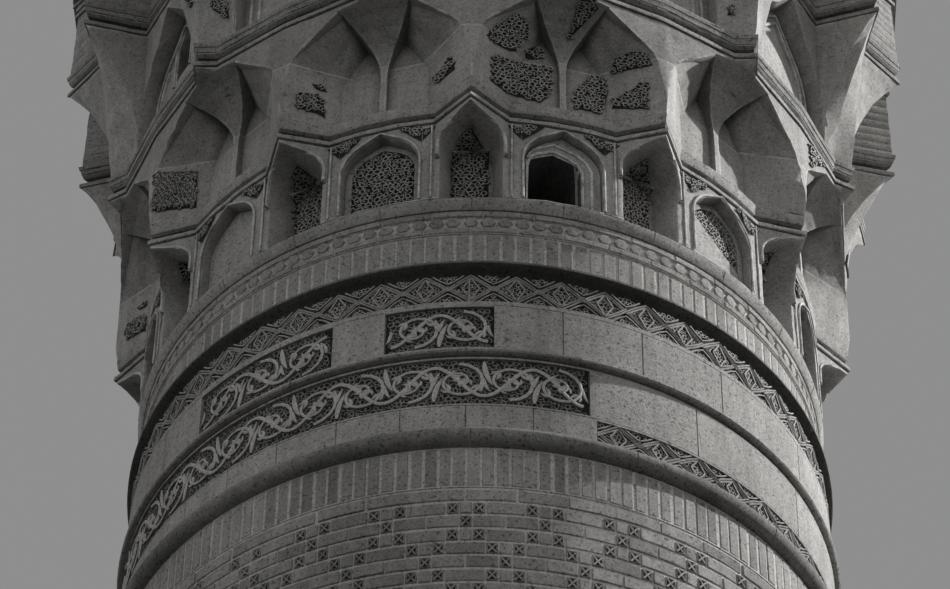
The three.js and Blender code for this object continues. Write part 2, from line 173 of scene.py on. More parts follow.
def work_out(tree, operation, a, b):
    made = tree.nodes.new("ShaderNodeMath")
    made.operation = operation
    feed(tree, made.inputs[0], a)
    feed(tree, made.inputs[1], b)
    return made.outputs[0]


def brick_courses(tree, colour, normal, length, high):
    """Courses of bricks round the axis, as colour and as grooves."""
    split = add(tree, "SeparateXYZ", Vector=spot(tree)).outputs
    bricks_round = 64
    turn = work_out(tree, "ARCTAN2", split["X"], split["Y"])
    arc = work_out(tree, "MULTIPLY", turn, bricks_round * length / math.tau)
    flat = add(tree, "CombineXYZ", X=arc, Y=split["Z"]).outputs["Vector"]
    wall = add(tree, "TexBrick", Vector=flat, Scale=1.0, Brick_Width=length, Row_Height=high,
               Mortar_Size=0.006, Mortar_Smooth=0.3,
               Color1=(1, 1, 1, 1), Color2=(0.72, 0.72, 0.72, 1), Mortar=(0.9, 0.9, 0.9, 1))
    joint = add(tree, "Bump", Strength=0.8, Distance=0.006, Height=wall.outputs["Fac"], Normal=normal)
    joint.invert = True
    return mix(tree, 0.85, colour, wall.outputs["Color"], "MULTIPLY"), joint.outputs["Normal"]


def masonry(name, light, dark, island=0.0, pits=1.0, streaks=0.2, coursed=None, soot=0.3, hollow_shade=0.0, reach=0.3,
            edges=0.0, bed=None):
    """Weathered masonry between two greys. island varies each loose block, coursed is a brick's length and
    height, hollow_shade is painted shade darkening hollows and corners within reach, edges is the width of
    worn edges painted paler, partly wear and partly painted highlight, bed the height of a joint."""
    material = bpy.data.materials.new(name)
    material.use_nodes = True
    tree = material.node_tree
    shader = tree.nodes["Principled BSDF"]
    colour = ramp(tree, noise(tree, 1.3, 6, 0.65), (0.3, tone(dark)), (0.7, tone(light)))
    colour = darken(tree, colour, noise(tree, 28, 8, 0.75), (0.25, 0.62), (0.6, 1.0), share=0.75)
    colour = darken(tree, colour, noise(tree, 90, 5, 0.75), (0.34, 0.45), (0.60, 1.0), share=0.75)
    specks = min(1.0, 0.85 * pits)
    colour = darken(tree, colour, noise(tree, 52, 3, 0.65), (0.57, 1.0), (0.64, 0.30), share=specks)
    if island:
        block = add(tree, "NewGeometry").outputs["Random Per Island"]
        colour = darken(tree, colour, block, (0.0, 1 - island), (0.55, 1.0), (1.0, 1 - island * 0.35))
    run = noise(tree, 3.2, 5, 0.7, (3.2, 3.2, 0.35))
    colour = darken(tree, colour, run, (0.42, 1 - streaks), (0.6, 1.0), share=0.8)
    colour = darken(tree, colour, noise(tree, 0.55, 7, 0.7), (0.36, 1 - soot), (0.56, 1.0), share=0.9)
    if bed:
        colour = bed_joint(tree, colour, bed)
    # paler edges: partly wear, partly a painted highlight
    if edges:
        colour = rubbed_and_highlit(tree, colour, [min(1.0, c * 1.25) for c in tone(light)], edges)
    # painted shade: darker in hollows, corners and creases within reach
    if hollow_shade:
        colour = darken(tree, colour, openness(tree, reach), (0.25, 1 - hollow_shade), (0.95, 1.0))
    bump = add(tree, "Bump", Strength=0.75 * pits, Distance=0.008, Height=noise(tree, 60, 10, 0.75))
    normal = bump.outputs["Normal"]
    if coursed:
        colour, normal = brick_courses(tree, colour, normal, *coursed)
    for socket, value in (("Roughness", 0.9), ("Specular IOR Level", 0.25), ("Normal", normal),
                          ("Base Color", colour)):
        feed(tree, shader.inputs[socket], value)
    return material


CELL_JOINT = 5.842      # bed joint of the second tier
CARVING = {"pits": 0.4, "streaks": 0.1, "soot": 0.2}
# pits, and edges painted paler: partly wear, partly painted highlight
WEAR_AND_EDGE_HIGHLIGHT = {"pits": 0.6, "edges": 0.022}

BRICK = masonry("fired_brick", 0.78, 0.56, island=0.35)
MORTAR = masonry("lime_mortar", 1.0, 0.84, pits=0.8, streaks=0.1, soot=0.2)
# STONE and the tier materials below carry painted shade in their hollows (hollow_shade)
STONE = masonry("dressed_stone", 0.80, 0.60, hollow_shade=0.35, reach=0.05)
ROLL_STONE = masonry("roll_stone", 0.52, 0.34, soot=0.4)
# soot and painted shade: very dark stone for the hollow moulding, and painted shade on the frieze's ground
# and the window opening's sides
SOOT_AND_SHADE = masonry("sooty_shaded_stone", 0.20, 0.11, soot=0.4)
SHADED = masonry("shaded_groove", 0.36, 0.25, soot=0.4)
CARVED = masonry("carved_stone", 0.92, 0.74, **CARVING)
# painted shade: a dark copy of the carved stone for the sides of strands
SHADED_CARVED_SIDE = masonry("shaded_carved_side", 0.28, 0.18, **CARVING)
STRAND = masonry("lace_strand", 0.74, 0.56, pits=0.4, streaks=0.1)
# painted shade: the lace strand's stone made darker for lace lying deep under the scroll
SHADED_DEEP_STRAND = masonry("shaded_deep_strand", 0.50, 0.36, pits=0.4, streaks=0.1)
STRAP = masonry("strap_stone", 0.76, 0.56, pits=0.7, streaks=0.1, soot=0.35)
# painted shade: near-black ground in the deep hollows behind carving and in pierced holes
SHADED_GROUND = masonry("shaded_sunk_ground", 0.07, 0.035, streaks=0.1)
TIER_STONE = masonry("tier_stone", 0.84, 0.60, hollow_shade=0.45, **WEAR_AND_EDGE_HIGHLIGHT)
CELL_STONE = masonry("cell_stone", 0.84, 0.60, hollow_shade=0.6, reach=0.4, bed=CELL_JOINT, **WEAR_AND_EDGE_HIGHLIGHT)
TIER_BRICK = masonry("tier_brick", 0.80, 0.60, coursed=(0.235, COURSE), hollow_shade=0.45)
FLOOR_STONE = masonry("floor_stone", 0.62, 0.50)
# painted shade: the inside of the stair well, dark as if unlit
SHADED_WELL_WALL = masonry("shaded_well_wall", 0.10, 0.06)


class Builder:
    """Collects faces and makes them into one piece; kinds picks each face's material."""

    def __init__(self):
        self.points = []
        self.faces = []
        self.kinds = []

    def add(self, points, faces, kinds=()):
        base = len(self.points)
        self.points += points
        self.faces += [tuple(base + i for i in face) for face in faces]
        self.kinds += kinds or [0] * len(faces)

    def quad(self, *points):
        self.add(list(points), [(0, 1, 2, 3)])

    def piece(self, name, material, slot, *nodes, crease=38, side=None):
        mesh = bpy.data.meshes.new(name)
        mesh.from_pydata(self.points, [], self.faces)
        mesh.materials.append(material)
        made = mount(mesh, nodes)
        mesh.set_sharp_from_angle(angle=math.radians(crease))
        # side is a second material for faces of kind 1; on carving it is painted shade on the strands' sides
        if side:
            mesh.materials.append(side)
            mesh.polygons.foreach_set("material_index", self.kinds)
        mesh.update()
        return made


def linked(data):
    """Object of a mesh, a lamp or a camera."""
    made = bpy.data.objects.new(data.name, data)
    bpy.context.collection.objects.link(made)
    return made


def mount(mesh, nodes):
    """Object of a mesh, shaded smooth and riding on the tower in place of the nodes."""
    mesh.polygons.foreach_set("use_smooth", [True] * len(mesh.polygons))
    made = linked(mesh)
    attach(made, "root")
    if nodes:
        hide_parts(*nodes)
    return made


def repaint(made, material, chosen):
    """Gives the faces whose centre passes the test another finish."""
    made.data.materials.append(material)
    for face in made.data.polygons:
        if chosen(face.center):
            face.material_index = len(made.data.materials) - 1
    return made


def paint_well_shade(made):
    """Painted shade on the inner faces of a piece, where the stair well lies in darkness."""
    return repaint(made, SHADED_WELL_WALL, lambda centre: centre.xy.length < WELL_R + 0.03)


def joint_columns(joints):
    """Columns of a ring as (azimuth, inset): plain ones and a V groove at each joint."""
    half, depth, count = 0.004, 0.007, 144
    columns = []
    width = math.degrees(half / SHAFT_R)
    for azimuth in joints:
        columns += [(azimuth - width, 0.0), (azimuth, depth), (azimuth + width, 0.0)]
    for i in range(count):
        azimuth = 360 * i / count
        near = min((abs((azimuth - j + 180) % 360 - 180) for j in joints), default=360)
        if near > 2 * width:
            columns.append((azimuth, 0.0))
    return sorted((azimuth % 360, inset) for azimuth, inset in columns)


def ring(name, profile, material, slot, *nodes, joints=()):
    """Course turned from (radius, height) pairs on its outer side; the well's wall closes it."""
    columns = joint_columns(joints)
    n, count = len(profile) + 2, len(columns)
    points = []
    for azimuth, inset in columns:
        points.append(polar(azimuth, WELL_R, profile[0][1]))
        points += [polar(azimuth, r - inset, z) for r, z in profile]
        points.append(polar(azimuth, WELL_R, profile[-1][1]))
    faces = []
    for i in range(count):
        a, b = i * n, (i + 1) % count * n
        faces += [(a + j, b + j, b + (j + 1) % n, a + (j + 1) % n) for j in range(n)]
    builder = Builder()
    builder.add(points, faces)
    return paint_well_shade(builder.piece(name, material, slot, *nodes))


def grid(rows, columns):
    """Quads of a grid whose points are listed row by row."""
    return [(a, a + 1, a + columns + 1, a + columns)
            for row in range(rows - 1) for a in range(row * columns, (row + 1) * columns - 1)]


def brick(builder, a0, a1, z0, z1, r, lift, wide=True):
    """Brick laid in a round wall, lifted out of it: rounded edges, face following the curve, open back."""
    depth, edge = 0.03, 0.0035
    slip = math.degrees(edge / r)
    r += lift
    azimuths = [a0, a0 + slip, a1 - slip, a1]
    if wide:
        azimuths.insert(2, (a0 + a1) / 2)
    heights = [z0, z0 + edge, z1 - edge, z1]
    columns = len(azimuths)
    points = []
    for j, z in enumerate(heights):
        for i, azimuth in enumerate(azimuths):
            rim = j in (0, 3) or i in (0, columns - 1)
            points.append(polar(azimuth, r - edge if rim else r, z))
    faces = grid(len(heights), columns)
    border = [(0, i) for i in range(columns)] + [(j, columns - 1) for j in (1, 2, 3)]
    border += [(3, i) for i in range(columns - 2, -1, -1)] + [(j, 0) for j in (2, 1)]
    base = len(points)
    points += [polar(azimuths[i], r - depth, heights[j]) for j, i in border]
    for k, (j, i) in enumerate(border):
        after = (k + 1) % len(border)
        j2, i2 = border[after]
        faces.append((j2 * columns + i2, j * columns + i, base + k, base + after))
    builder.add(points, faces)


ROUND_TOP = [(-1, 0.0), (-0.72, 0.8), (0, 1.0), (0.72, 0.8), (1, 0.0)]
RIDGE_TOP = [(-1, 0.0), (0, 1.0), (1, 0.0)]
FLAT_TOP = [(-1, 0.0), (-0.75, 1.0), (0.75, 1.0), (1, 0.0)]


def ribbon(builder, place, line, half, height, foot=0.0, across=ROUND_TOP):
    """Carved strand along a line of (u, v); half is its half width, or one for each point."""
    halves = half if isinstance(half, list) else [half] * len(line)
    points = []
    for i, (u, v) in enumerate(line):
        (u0, v0), (u1, v1) = line[max(i - 1, 0)], line[min(i + 1, len(line) - 1)]
        long = math.hypot(u1 - u0, v1 - v0) or 1.0
        for side, rise in across:
            d = side * halves[i] / long
            points.append(place(u + (v1 - v0) * d, v - (u1 - u0) * d, foot + rise * height))
    # the outer rows, the strand's sides, are kind 1 and get painted shade where the piece has a side material
    kinds = [1, *[0] * (len(across) - 3), 1]
    builder.add(points, grid(len(line), len(across)), kinds * (len(line) - 1))


def arc_line(cu, cv, radius, a0, a1, steps):
    angles = [math.radians(a0 + (a1 - a0) * i / steps) for i in range(steps + 1)]
    return [(cu + radius * math.cos(a), cv + radius * math.sin(a)) for a in angles]


def four_centred(half, foot, spring, apex, haunch=1.0):
    """Outline of a pointed arch, counter-clockwise from its left foot; its sides end in straight runs."""
    steps = 6
    rise = apex - spring
    arc = min(haunch * half, 0.97 * (half * half + rise * rise) / (2 * half))
    end = math.atan2(rise, arc - half) - math.acos(arc / math.hypot(half - arc, rise))
    side = [(half - arc + arc * math.cos(end * i / steps), spring + arc * math.sin(end * i / steps))
            for i in range(steps + 1)]
    return [(-half, foot), (half, foot), *side, (0.0, apex), *[(-u, v) for u, v in reversed(side)]]


def sides(outline):
    """Pairs of neighbouring corners, all the way round."""
    return zip(outline, outline[1:] + outline[:1])


def span_at(outline, u):
    """Lowest and highest v of a convex outline at u."""
    hits = []
    for (u0, v0), (u1, v1) in sides(outline):
        if min(u0, u1) <= u <= max(u0, u1):
            hits += [v0, v1] if u0 == u1 else [v0 + (v1 - v0) * (u - u0) / (u1 - u0)]
    return (min(hits), max(hits)) if hits else (0.0, 0.0)


def box_outline(u0, v0, u1, v1):
    return [(u0, v0), (u1, v0), (u1, v1), (u0, v1)]


def limits(outline):
    """Least and greatest u, then least and greatest v."""
    across, up = zip(*outline)
    return min(across), max(across), min(up), max(up)


def lace(builder, place, outline, pitch=0.033, half=0.0042, height=0.013, foot=0.0):
    """Carved lacework inside a convex outline: rings, bent ovals and open curls that run together."""
    u0, u1, v0, v1 = limits(outline)
    rim = min(pitch * 0.45, 0.45 * (u1 - u0), 0.45 * (v1 - v0))
    rows = max(1, round((v1 - v0 - 2 * rim) / (pitch * 0.88)))
    for j in range(rows + 1):
        for i in range(int((u1 - u0) / pitch) + 2):
            u = u0 + (i + 0.5 * (j % 2)) * pitch + rim + random.uniform(-0.22, 0.22) * pitch
            v = v0 + rim + (v1 - v0 - 2 * rim) * j / rows + random.uniform(-0.22, 0.22) * pitch
            low, high = span_at(outline, u)
            if u > u1 - rim * 0.8 or not low + rim * 0.5 < v < high - rim * 0.5:
                continue
            radius = pitch * random.uniform(0.38, 0.58)
            kind = random.random()
            if kind < 0.35:
                line = arc_line(u, v, radius, 0, 360, 6)
            elif kind < 0.75:
                start = random.uniform(0, 360)
                line = arc_line(u, v, radius, start, start + 230, 4)
                tip = math.radians(start + 280)
                line.append((u + radius * 0.25 * math.cos(tip), v + radius * 0.25 * math.sin(tip)))
            else:
                lean, flat = random.uniform(0, math.pi), random.uniform(0.6, 0.8)
                c, s = math.cos(lean), math.sin(lean)
                line = [(u + du * c - dv * flat * s, v + du * s + dv * flat * c)
                        for du, dv in arc_line(0, 0, radius * 1.2, 0, 360, 6)]
            ribbon(builder, place, line, half * random.uniform(0.8, 1.15), height * random.uniform(0.85, 1.0),
                   foot, FLAT_TOP)


def ground_of(builder, place, outline, lift):
    """Sunk ground behind lacework, following the surface under a convex outline."""
    cell, slip = 0.025, 1e-5
    u0, u1, v0, v1 = limits(outline)
    columns = max(2, round((u1 - u0) / cell))
    rows = max(2, round((v1 - v0) / cell))
    points = []
    for i in range(columns + 1):
        u = u0 + slip + (u1 - u0 - 2 * slip) * i / columns
        low, high = span_at(outline, u)
        points += [place(u, low + (high - low) * j / rows, lift) for j in range(rows + 1)]
    n = rows + 1
    faces = [(a, a + n, a + n + 1, a + 1) for i in range(columns) for a in range(i * n, i * n + rows)]
    builder.add(points, faces)


def on_ring(r):
    """Place on a round wall: u is the arc length at the shaft's radius, v the height."""
    return lambda u, v, h: polar(math.degrees(u / SHAFT_R), r + h, v)


def arc_at(azimuth):
    return math.radians(azimuth) * SHAFT_R


# Brick shaft with small cut plugs in lozenges, under a plain top row.
def lay_shaft():
    rows, periods, top_bricks = 26, 31, 48
    pitch, period, length = Z_SOLDIER_LOW / rows, 360 / periods, 360 / top_bricks
    joint = 0.019
    plug = math.degrees(0.056 / SHAFT_R)
    gap = math.degrees(0.010 / SHAFT_R)
    bricks, plugs, pits = Builder(), Builder(), Builder()
    ring("shaft_mortar", [(SHAFT_R - 0.009, STEP), (SHAFT_R - 0.009, Z_SOLDIER_LOW - STEP)],
         MORTAR, "brick", "shaft_wall")
    for row in range(rows):
        z1 = Z_SOLDIER_LOW - row * pitch - joint
        z0 = Z_SOLDIER_LOW - (row + 1) * pitch + (0.0005 if row == rows - 1 else 0.0)
        if row == 0:
            for k in range(top_bricks):
                slip = random.uniform(-0.4, 0.4)
                a0, a1 = k * length + gap / 2 + slip, (k + 1) * length - gap / 2 + slip
                brick(bricks, a0, a1, z0, z1, SHAFT_R, lift=random.uniform(-0.0025, 0.0015))
            continue
        offset = period * ((row - 2) % 6) / 6
        marks = sorted({round((n * period + s * offset) % 360, 4) for n in range(periods) for s in (-1, 1)})
        for k, centre in enumerate(marks):
            after = marks[(k + 1) % len(marks)] + (360 if k == len(marks) - 1 else 0)
            cut_plug(plugs, pits, centre, z0, z1, plug)
            start, end = centre + plug / 2 + gap, after - plug / 2 - gap
            pieces = 2 if (end - start) * math.radians(1) * SHAFT_R > 0.26 else 1
            for part in range(pieces):
                a0 = start + (end - start) * part / pieces + (gap / 2 if part else 0)
                a1 = start + (end - start) * (part + 1) / pieces - (gap / 2 if part < pieces - 1 else 0)
                lift = random.uniform(-0.0025, 0.0015)
                drop = random.uniform(-0.002, 0.002)
                brick(bricks, a0, a1, max(z0 + drop, 0.0005), z1 + drop, SHAFT_R, wide=a1 - a0 > 4, lift=lift)
    bricks.piece("shaft_bricks", BRICK, "brick")
    plugs.piece("shaft_plugs", BRICK, "brick")
    pits.piece("shaft_plug_pits", SHADED_GROUND, "brick")


def cut_plug(plugs, pits, azimuth, z0, z1, width):
    """Small square tile cut through so that a cross is left."""
    place = on_ring(SHAFT_R - 0.010)
    rim, cross, proud, foot = 0.86, 0.8, 0.009, 0.001
    u, v = arc_at(azimuth), (z0 + z1) / 2
    hu, hv = math.radians(width) * SHAFT_R / 2, (z1 - z0) / 2
    # the tile's holes behind the cross are painted shade
    pits.quad(*[place(*corner, 0.003) for corner in box_outline(u - hu, v - hv, u + hu, v + hv)])
    border = box_outline(u - hu * rim, v - hv * rim, u + hu * rim, v + hv * rim)
    for edge in sides(border):
        ribbon(plugs, place, edge, 0.0055, proud, foot, RIDGE_TOP)
    for side in (-1, 1):
        du, dv = hu * side * cross, hv * cross
        ribbon(plugs, place, [(u - du, v - dv), (u + du, v + dv)], 0.0052, proud, foot, FLAT_TOP)


def soldier_course(name, node, z0, z1, r, count):
    """Course of bricks set upright."""
    back = r - 0.0035
    ring(name + "_mortar", [(back, z0 + STEP), (back, z1 - STEP)], MORTAR, "brick", node)
    builder = Builder()
    pitch = 360 / count
    for i in range(count):
        gap = pitch * random.uniform(0.14, 0.26)
        slip = pitch * random.uniform(-0.04, 0.04)
        top = random.uniform(0.008, 0.014)
        a0, a1 = i * pitch + gap / 2 + slip, (i + 1) * pitch - gap / 2 + slip
        brick(builder, a0, a1, z0 + 0.009, z1 - top, r, wide=False, lift=random.uniform(-0.001, 0.002))
    builder.piece(name + "_bricks", BRICK, "brick")


lay_shaft()
soldier_course("soldier_low", "soldier_course_lower", Z_SOLDIER_LOW, Z_ROLL, SHAFT_R, 170)
soldier_course("soldier_up", "soldier_course_upper", Z_SOLDIER_UP, Z_BEAD, UPPER_R, 150)


# Round stone courses.
def block_joints(count, jitter=0.6):
    return [360 * i / count + random.uniform(-jitter, jitter) for i in range(count)]


def banded(r, rows):
    """Profile from pairs of (step out from r, height)."""
    return [(r + out, z) for out, z in rows]


roll_mid, roll_half = (Z_ROLL + Z_PLAIN) / 2, (Z_PLAIN - Z_ROLL) / 2 - STEP
roll_turn = [math.radians(-85 + 17 * i) for i in range(11)]
roll = [(0.012 + roll_half * math.cos(t), roll_mid + roll_half * math.sin(t)) for t in roll_turn]
ring("roll", banded(SHAFT_R, [(0.006, Z_ROLL + STEP), *roll, (0.006, Z_PLAIN - STEP)]),
     ROLL_STONE, "stone", "roll_moulding", joints=block_joints(14))
ring("ledge", banded(SHAFT_R, [
    (-0.012, Z_LEDGE + STEP), (-0.012, Z_LEDGE + 0.015), (0.026, Z_LEDGE + 0.019), (0.034, Z_LEDGE + 0.027),
    (0.034, Z_BAND_UP - 0.012), (0.026, Z_BAND_UP - 0.005), (0.018, Z_BAND_UP - STEP)]),
     STONE, "stone", "ledge_moulding", joints=block_joints(22))
LIP = 0.030             # height of the frieze's ground carried up into the hollow moulding
SCOTIA_HEAD = 0.095     # height over its foot at which the hollow moulding's head begins
hollow = [(-0.020, STEP), (-0.020, LIP), (-0.034, 0.036), (-0.046, 0.046), (-0.048, 0.058), (-0.036, 0.070),
          (-0.006, 0.082), (0.018, 0.091), (0.028, 0.099)]
# the hollow moulding is dark partly as soot and partly as painted shade
scotia = ring("scotia", banded(SHAFT_R, [
    *[(out, Z_SCOTIA + rise) for out, rise in hollow], (0.028, Z_SOLDIER_UP - 0.012),
    (0.020, Z_SOLDIER_UP - 0.005), (UPPER_R - SHAFT_R + 0.008, Z_SOLDIER_UP - STEP)]),
              SOOT_AND_SHADE, "stone", "scotia_moulding", joints=block_joints(26))
for finish, height in ((SHADED, Z_SCOTIA + SCOTIA_HEAD), (MORTAR, Z_SOLDIER_UP - 0.012)):
    repaint(scotia, finish, lambda centre: centre.z > height and centre.xy.length > WELL_R + 0.03)
ring("sill", banded(UPPER_R, [
    (0.018, Z_SILL + STEP), (0.022, Z_SILL + 0.004), (0.043, Z_TIER1 - 0.026), (0.044, Z_TIER1 - 0.014),
    (0.036, Z_TIER1 - 0.003), (0.030, Z_TIER1 - STEP)]),
     STONE, "stone", "tier1_sill", joints=block_joints(24))

# azimuths where each course is carved; the rest of it is plain blocks
CARVED_LOW = (-180.0, 18.6)
CARVED_UP = ((-47.8, -21.5), (-13.0, 4.0), (158.0, 190.0))
CARVED_PLAIN = (19.6, 200.0)


def course_wall(name, node, z0, z1, sunk, joints, foot=0.012, head=0.012, ground_shade=SHADED_GROUND):
    """Stone course whose sunk stretches, given as azimuth pairs, lie deeper than its plain blocks and have
    rims at their foot and head."""
    depth, edge, bevel = 0.020, 0.12, 0.003
    low, high = z0 + STEP, z1 - STEP
    edges = {(azimuth % 360, 0.0) for a, b in sunk for azimuth in (a, a + edge, b - edge, b)}
    columns = sorted({*joint_columns(joints), *edges})
    count = len(columns)

    def deep(azimuth):
        return any(a + edge / 2 < turn < b - edge / 2 for a, b in sunk for turn in (azimuth, azimuth - 360))

    blocks = [(bevel, low), (0.0, low + bevel), (0.0, high - bevel), (bevel, high)]
    hollow = [(0.0, low), (0.0, low + foot), (depth, low + foot), (depth, high - head)]
    if head:
        hollow += [(0.0, high - head), (0.0, high)]
    plain, ground = Builder(), Builder()
    for i in range(count):
        (a, inset_a), (b, inset_b) = columns[i], columns[(i + 1) % count]
        b += 360 if i == count - 1 else 0
        rows = blocks
        if deep((a + b) / 2):
            rows = hollow
            inset_a = inset_b = 0.0
        for (d0, v0), (d1, v1) in zip(rows, rows[1:]):
            target = ground if d0 == d1 == depth else plain
            target.quad(polar(a, SHAFT_R - d0 - inset_a, v0), polar(b, SHAFT_R - d0 - inset_b, v0),
                        polar(b, SHAFT_R - d1 - inset_b, v1), polar(a, SHAFT_R - d1 - inset_a, v1))
    for a, b in sunk:
        for azimuth, face in ((a + edge / 2, (0, 1, 2, 3)), (b - edge / 2, (3, 2, 1, 0))):
            plain.add([polar(azimuth, SHAFT_R - d, v) for d, v in
                       ((0.0, z0 + foot), (depth, z0 + foot), (depth, z1 - head), (0.0, z1 - head))], [face])
    back = [polar(azimuth, WELL_R, z) for azimuth, _ in columns for z in (low, high)]
    loop = [(2 * i, 2 * ((i + 1) % count)) for i in range(count)]
    plain.add(back, [(a, a + 1, b + 1, b) for a, b in loop])
    paint_well_shade(plain.piece(name, STONE, "stone", node))
    # the sunk ground is painted shade
    ground.piece(name + "_ground", ground_shade, "stone")


course_wall("plain_blocks", "plain_course", Z_PLAIN, Z_BAND_LOW, [CARVED_PLAIN],
            [j for j in block_joints(36, 0.5) if not CARVED_PLAIN[0] - 0.6 < j < CARVED_PLAIN[1]])
course_wall("band_low", "band_course_lower", Z_BAND_LOW, Z_LEDGE, [CARVED_LOW],
            [37, 61, 84, 109, 136, 158])
course_wall("band_up", "band_course_upper", Z_BAND_UP, Z_STRAP, CARVED_UP,
            [-58, -79, -101, -128, -150, 14.5, 27.5, 42.5, 63, 88, 111, 134])
# the frieze's ground between the straps is painted shade
course_wall("strap_ground", "strapwork_frieze", Z_STRAP, Z_SCOTIA, [(0.0, 180.0), (180.0, 360.0)], [],
            foot=0.030, head=0.0, ground_shade=SOOT_AND_SHADE)


# Carved relief.
def leaf(builder, place, u, v, angle, length, width, bend, height):
    """Pointed leaf that curls to one side."""
    line, halves = [], []
    for t in (0, 0.2, 0.4, 0.6, 0.8, 1):
        a = math.radians(angle) + bend * t
        line.append((u + math.cos(a) * length * t, v + math.sin(a) * length * t))
        halves.append(width * (0.25 + 1.5 * t * (1 - t) * (1.6 - t)) if t < 1 else 0.0008)
    ribbon(builder, place, line, halves, height)


def scroll(builder, place, u0, u1, v0, v1):
    """Running scroll: a waving stem with a leafy spiral in each bay and a wide leaf between two bays."""
    height, tall, middle = 0.021, v1 - v0, (v0 + v1) / 2

    def add_leaf(u, v, angle, length, width, bend, share=1.0):
        leaf(builder, place, u, v, angle, tall * length, width, bend, height * share)

    count = max(1, round((u1 - u0) / (tall * 0.80)))
    span = (u1 - u0) / count
    swing = tall * 0.33
    stem = [(u0 + span * i / 14, middle - swing * math.cos(math.pi * i / 14)) for i in range(14 * count + 1)]
    ribbon(builder, place, stem, 0.0145, height)
    steps = 26
    for k in range(count):
        side = 1 if k % 2 == 0 else -1
        cu = u0 + span * (k + 0.5)
        turn = []
        for i in range(steps + 1):
            a = math.radians(-90 * side + side * 560 * i / steps)
            radius = tall * (0.40 * (1 - i / steps) + 0.07)
            turn.append((cu + 0.92 * radius * math.cos(a), middle + radius * 0.86 * math.sin(a)))
        ribbon(builder, place, turn, [0.0135 - 0.005 * i / steps for i in range(steps + 1)], height)
        for i in (5, 10, 15, 20):
            (a0, b0), (a1, b1) = turn[i], turn[i + 1]
            heading = math.degrees(math.atan2(b1 - b0, a1 - a0))
            add_leaf(a0, b0, heading + 62 * side, 0.19, 0.021, -0.7 * side)
            add_leaf(a0, b0, heading - 66 * side, 0.14, 0.017, 0.7 * side, 0.9)
        for angle in (25, 90, 155, 270):
            add_leaf(cu, middle, angle, 0.13, 0.016, 0.2)
        for corner in (-1, 1):
            add_leaf(u0 + span * (k + 0.5 + 0.5 * corner), middle - swing * side * corner * 0.2,
                     90 * side * corner, 0.3, 0.02, 0.3 * corner, 0.9)
        if k:
            add_leaf(u0 + span * k, middle + tall * 0.44 * side, -90 * side, 0.55, 0.030, 0.25 * side)


def carve_band(name, z0, z1, stretches):
    """Scroll over fine lace in the sunk stretches of a course."""
    rim, clear = 0.016, 0.02
    relief, mesh = Builder(), Builder()
    place = on_ring(SHAFT_R - 0.020)
    for a, b in stretches:
        u0, u1 = arc_at(a) + rim, arc_at(b) - rim
        scroll(relief, place, u0 + clear, u1 - clear, z0 + rim, z1 - rim)
        lace(mesh, place, box_outline(u0, z0 + rim, u1, z1 - rim), half=0.0036, height=0.007)
    relief.piece(name + "_scroll", CARVED, "stone", side=SHADED_CARVED_SIDE)
    mesh.piece(name + "_lace", SHADED_DEEP_STRAND, "stone", side=SHADED_CARVED_SIDE)


carve_band("band_low", Z_BAND_LOW, Z_LEDGE, [CARVED_LOW])
carve_band("band_up", Z_BAND_UP, Z_STRAP, CARVED_UP)


STRAP_PERIOD = 360 / 51


def strapwork(name, low, high, a0, a1):
    """Two zigzag rows of double straps that cross at mid height, with a narrow lozenge over lace between the
    crossings, and a tent of straps over lace above and below each crossing."""
    straps, fill = Builder(), Builder()
    place = on_ring(SHAFT_R - 0.020)
    middle, reach = (low + high) / 2, (high - low) / 2
    count = round((a1 - a0) / STRAP_PERIOD)
    wave = arc_at((a1 - a0) / count)

    def at(u, steps):
        """Points at (share of the wave, share of the reach) from u and mid height."""
        return [(u + wave * du, middle + reach * dv) for du, dv in steps]

    shares = (0, 0.15, 0.3, 0.44, 0.5, 0.56, 0.7, 0.85, 1)
    tent_steps = ((-0.34, 1), (-0.17, 0.63), (0, 0.36), (0.17, 0.63), (0.34, 1))
    for k in range(count):
        u0 = arc_at(a0) + wave * k
        for side in (-1, 1):
            over = 0.002 if (k % 2 == 0) == (side > 0) else 0.0
            for inner in (0.0, 0.018):
                line = [(u0 + wave * t, middle + side * (reach * (1 - abs(2 * t - 1)) ** 0.9 - inner)
                         + random.uniform(-0.0016, 0.0016)) for t in shares]
                ribbon(straps, place, line, [random.uniform(0.0060, 0.0080) for _ in line], 0.018 + over)
            tent = at(u0, [(du, side * dv) for du, dv in tent_steps])
            ribbon(straps, place, tent, 0.0055, 0.016, 0.0, FLAT_TOP)
            corner = at(u0, [(-0.27, side), (0.27, side), (0, side * 0.45)])
            lace(fill, place, corner, pitch=0.025, half=0.0034, height=0.011)
        tips = at(u0, [(0.5, 0.80), (0.69, 0), (0.5, -0.80), (0.31, 0)])
        for edge in sides(tips):
            ribbon(straps, place, edge, 0.0058, 0.016, 0.0, FLAT_TOP)
        wide = at(u0, [(0.06, 0), (0.5, -0.86), (0.94, 0), (0.5, 0.86)])
        lace(fill, place, wide, pitch=0.029, half=0.0036, height=0.010)
    straps.piece(name + "_straps", STRAP, "stone", side=SHADED_CARVED_SIDE)
    fill.piece(name + "_lace", STRAND, "stone", side=SHADED_CARVED_SIDE)


strapwork("frieze", Z_STRAP + 0.032, Z_SCOTIA + LIP - 0.002, -3.3, 356.7)
strapwork("low_frieze", Z_PLAIN + 0.013, Z_BAND_LOW - 0.013, *CARVED_PLAIN)


